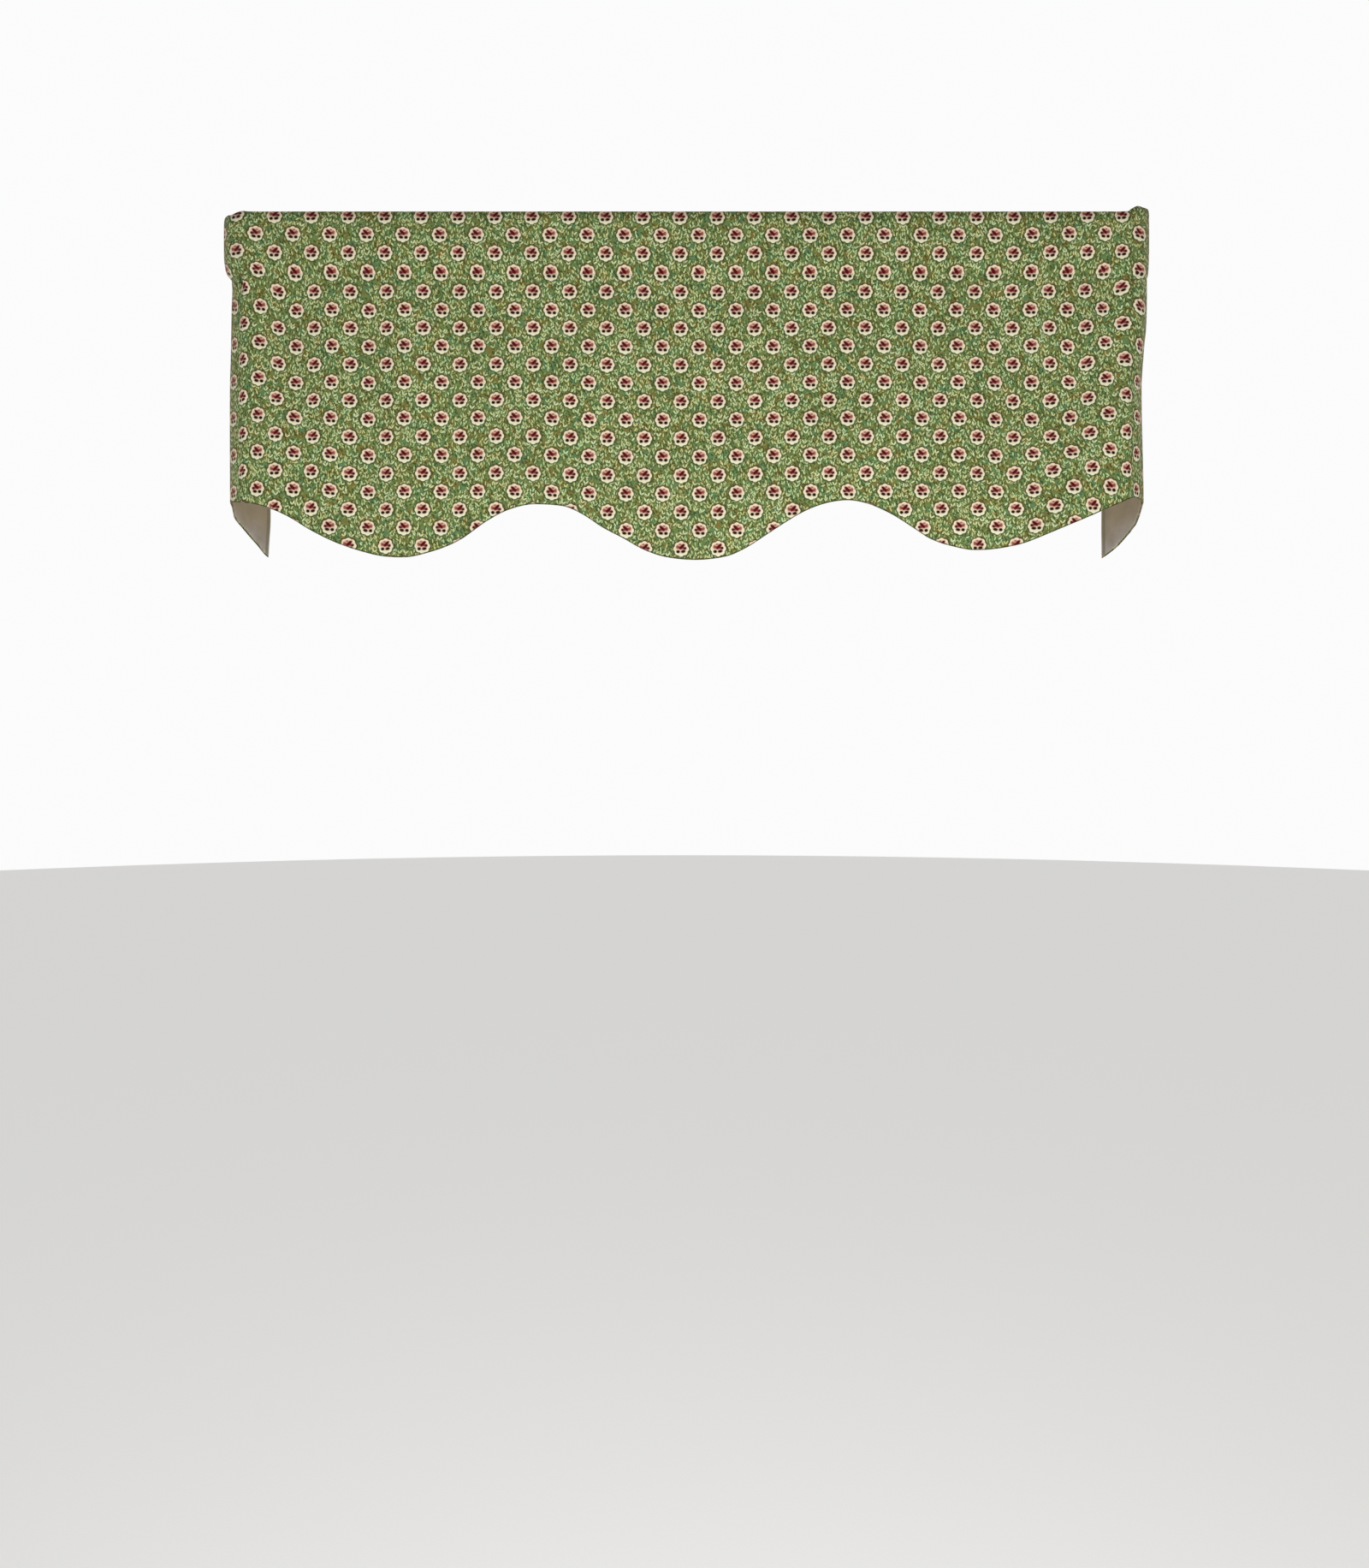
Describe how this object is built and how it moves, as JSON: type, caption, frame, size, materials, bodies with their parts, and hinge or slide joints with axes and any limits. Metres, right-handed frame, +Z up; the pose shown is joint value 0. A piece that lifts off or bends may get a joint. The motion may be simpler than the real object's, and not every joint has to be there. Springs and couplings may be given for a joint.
{
  "type": "window valance",
  "caption": "Scalloped cotton window valance in a small floral print, with a rod pocket along the top, a return at each end and a plain lining.",
  "frame": {"origin": "middle of the top edge, where the cloth folds over to the back to form the rod pocket", "axes": "+X to the right of someone who faces the valance, +Y back to the wall, +Z up"},
  "size_m": [1.1591, 0.1185, 0.4429],
  "materials": {
    "printed_cotton": "matt woven cotton, printed",
    "plain_cotton": "matt woven cotton, plain"
  },
  "bodies": {
    "root": {"face_cloth": "printed_cotton", "lining": "plain_cotton"}
  },
  "joints": []
}
